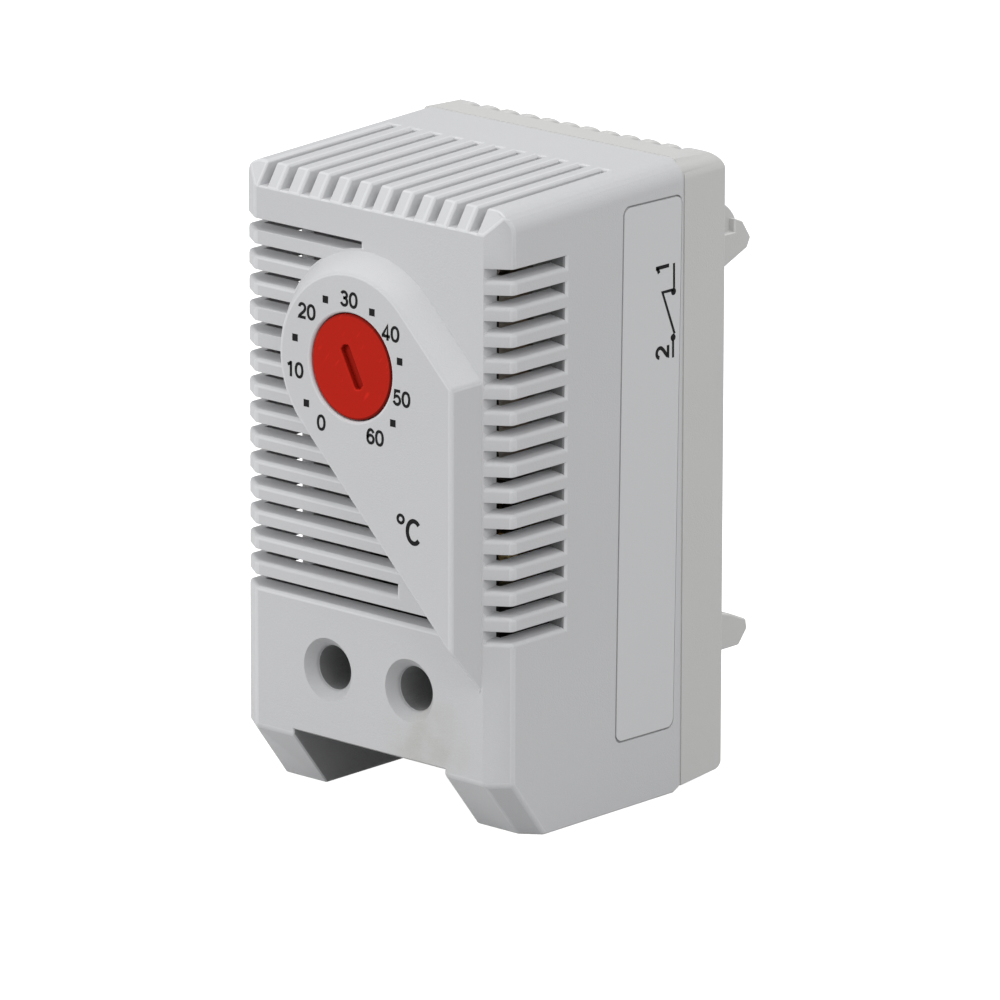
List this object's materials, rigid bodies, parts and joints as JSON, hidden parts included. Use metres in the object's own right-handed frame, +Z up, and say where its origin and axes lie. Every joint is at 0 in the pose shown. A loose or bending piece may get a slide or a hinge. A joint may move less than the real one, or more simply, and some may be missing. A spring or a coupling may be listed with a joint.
{
  "type": "mechanical thermostat",
  "caption": "Small louvred rail-mount thermostat with a slotted setting dial, bimetal snap contact and cage terminals.",
  "frame": {"origin": "centre of the bounding box in X and Y, on the plane of the feet", "axes": "+Z up from the feet to the roof, -Y towards the dial side, +X to the right as seen from the dial side"},
  "size_m": [0.033, 0.043, 0.0602],
  "materials": {
    "housing_grey": "fine matte moulding",
    "base_grey": "fine matte moulding",
    "label_grey": "satin film",
    "dial_red": "satin moulding",
    "brass": "drawn",
    "steel": "rolled",
    "zinc_plated": "zinc plated",
    "plunger_ivory": "moulded",
    "carrier_dark": "moulded",
    "spring_bronze": "rolled",
    "bimetal": "rolled",
    "contact_silver": "bright",
    "magnet_dark": "sintered"
  },
  "bodies": {
    "housing": {"front_housing": "housing_grey", "rear_base": "base_grey", "side_label": "label_grey", "contact_carrier": "carrier_dark", "terminal_bar_1": "brass", "terminal_bar_2": "brass", "wave_washer": "steel", "carrier_screw_1": "steel", "carrier_screw_2": "steel"},
    "dial": {"setpoint_dial": "dial_red", "spindle": "brass", "spindle_clip": "steel"},
    "plunger": {"adjusting_plunger": "plunger_ivory"},
    "setting_arm": {"setpoint_lever": "spring_bronze", "fixed_contact": "contact_silver", "snap_magnet": "magnet_dark"},
    "bimetal_arm": {"bimetal_strip": "bimetal", "moving_contact": "contact_silver", "armature": "steel"},
    "cage_1": {"clamp_cage_1": "zinc_plated"},
    "cage_2": {"clamp_cage_2": "zinc_plated"},
    "screw_1": {"terminal_screw_1": "zinc_plated"},
    "screw_2": {"terminal_screw_2": "zinc_plated"},
    "latch_1": {"rail_latch_1": "base_grey"},
    "latch_2": {"rail_latch_2": "base_grey"}
  },
  "joints": [
    {"name": "dial_turn", "type": "hinge", "parent": "housing", "child": "dial", "pos_m": [0, -0.01613, 0.04295], "axis": [0, 1, 0], "range_deg": [-122.5, 177.5]},
    {"name": "plunger_slide", "type": "slide", "parent": "housing", "child": "plunger", "axis": [0, 1, 0], "range_m": [-0.00025, 0.00036]},
    {"name": "setting_arm_pivot", "type": "hinge", "parent": "housing", "child": "setting_arm", "pos_m": [0, -0.00594, 0.0264], "axis": [-1, 0, 0], "range_deg": [-0.9, 1.3]},
    {"name": "bimetal_pivot", "type": "hinge", "parent": "housing", "child": "bimetal_arm", "pos_m": [0, -0.00144, 0.0264], "axis": [1, 0, 0], "range_deg": [-1.5, 0.95], "stiffness_Nm_per_rad": 0.2},
    {"name": "screw_1_turn", "type": "hinge", "parent": "housing", "child": "screw_1", "pos_m": [-0.0051, -0.01112, 0.0128], "axis": [0, 1, 0], "range_deg": [0, 1730]},
    {"name": "screw_2_turn", "type": "hinge", "parent": "housing", "child": "screw_2", "pos_m": [0.0051, -0.01112, 0.0128], "axis": [0, 1, 0], "range_deg": [0, 1730]},
    {"name": "cage_1_slide", "type": "slide", "parent": "housing", "child": "cage_1", "axis": [0, -1, 0], "range_m": [0, 0.0024]},
    {"name": "cage_2_slide", "type": "slide", "parent": "housing", "child": "cage_2", "axis": [0, -1, 0], "range_m": [0, 0.0024]},
    {"name": "latch_1_flex", "type": "hinge", "parent": "housing", "child": "latch_1", "pos_m": [-0.0089, 0.01073, 0.02125], "axis": [-1, 0, 0], "range_deg": [0, 9], "stiffness_Nm_per_rad": 0.3},
    {"name": "latch_2_flex", "type": "hinge", "parent": "housing", "child": "latch_2", "pos_m": [0.0089, 0.01073, 0.02125], "axis": [-1, 0, 0], "range_deg": [0, 9], "stiffness_Nm_per_rad": 0.3}
  ],
  "couplings": [
    {"joint": "plunger_slide", "follows": "dial_turn", "m_per_rad": 0.00011141},
    {"joint": "setting_arm_pivot", "follows": "dial_turn", "ratio": 0.0067316},
    {"joint": "screw_1_turn", "follows": "cage_1_slide", "rad_per_m": 12566},
    {"joint": "screw_2_turn", "follows": "cage_2_slide", "rad_per_m": 12566}
  ]
}
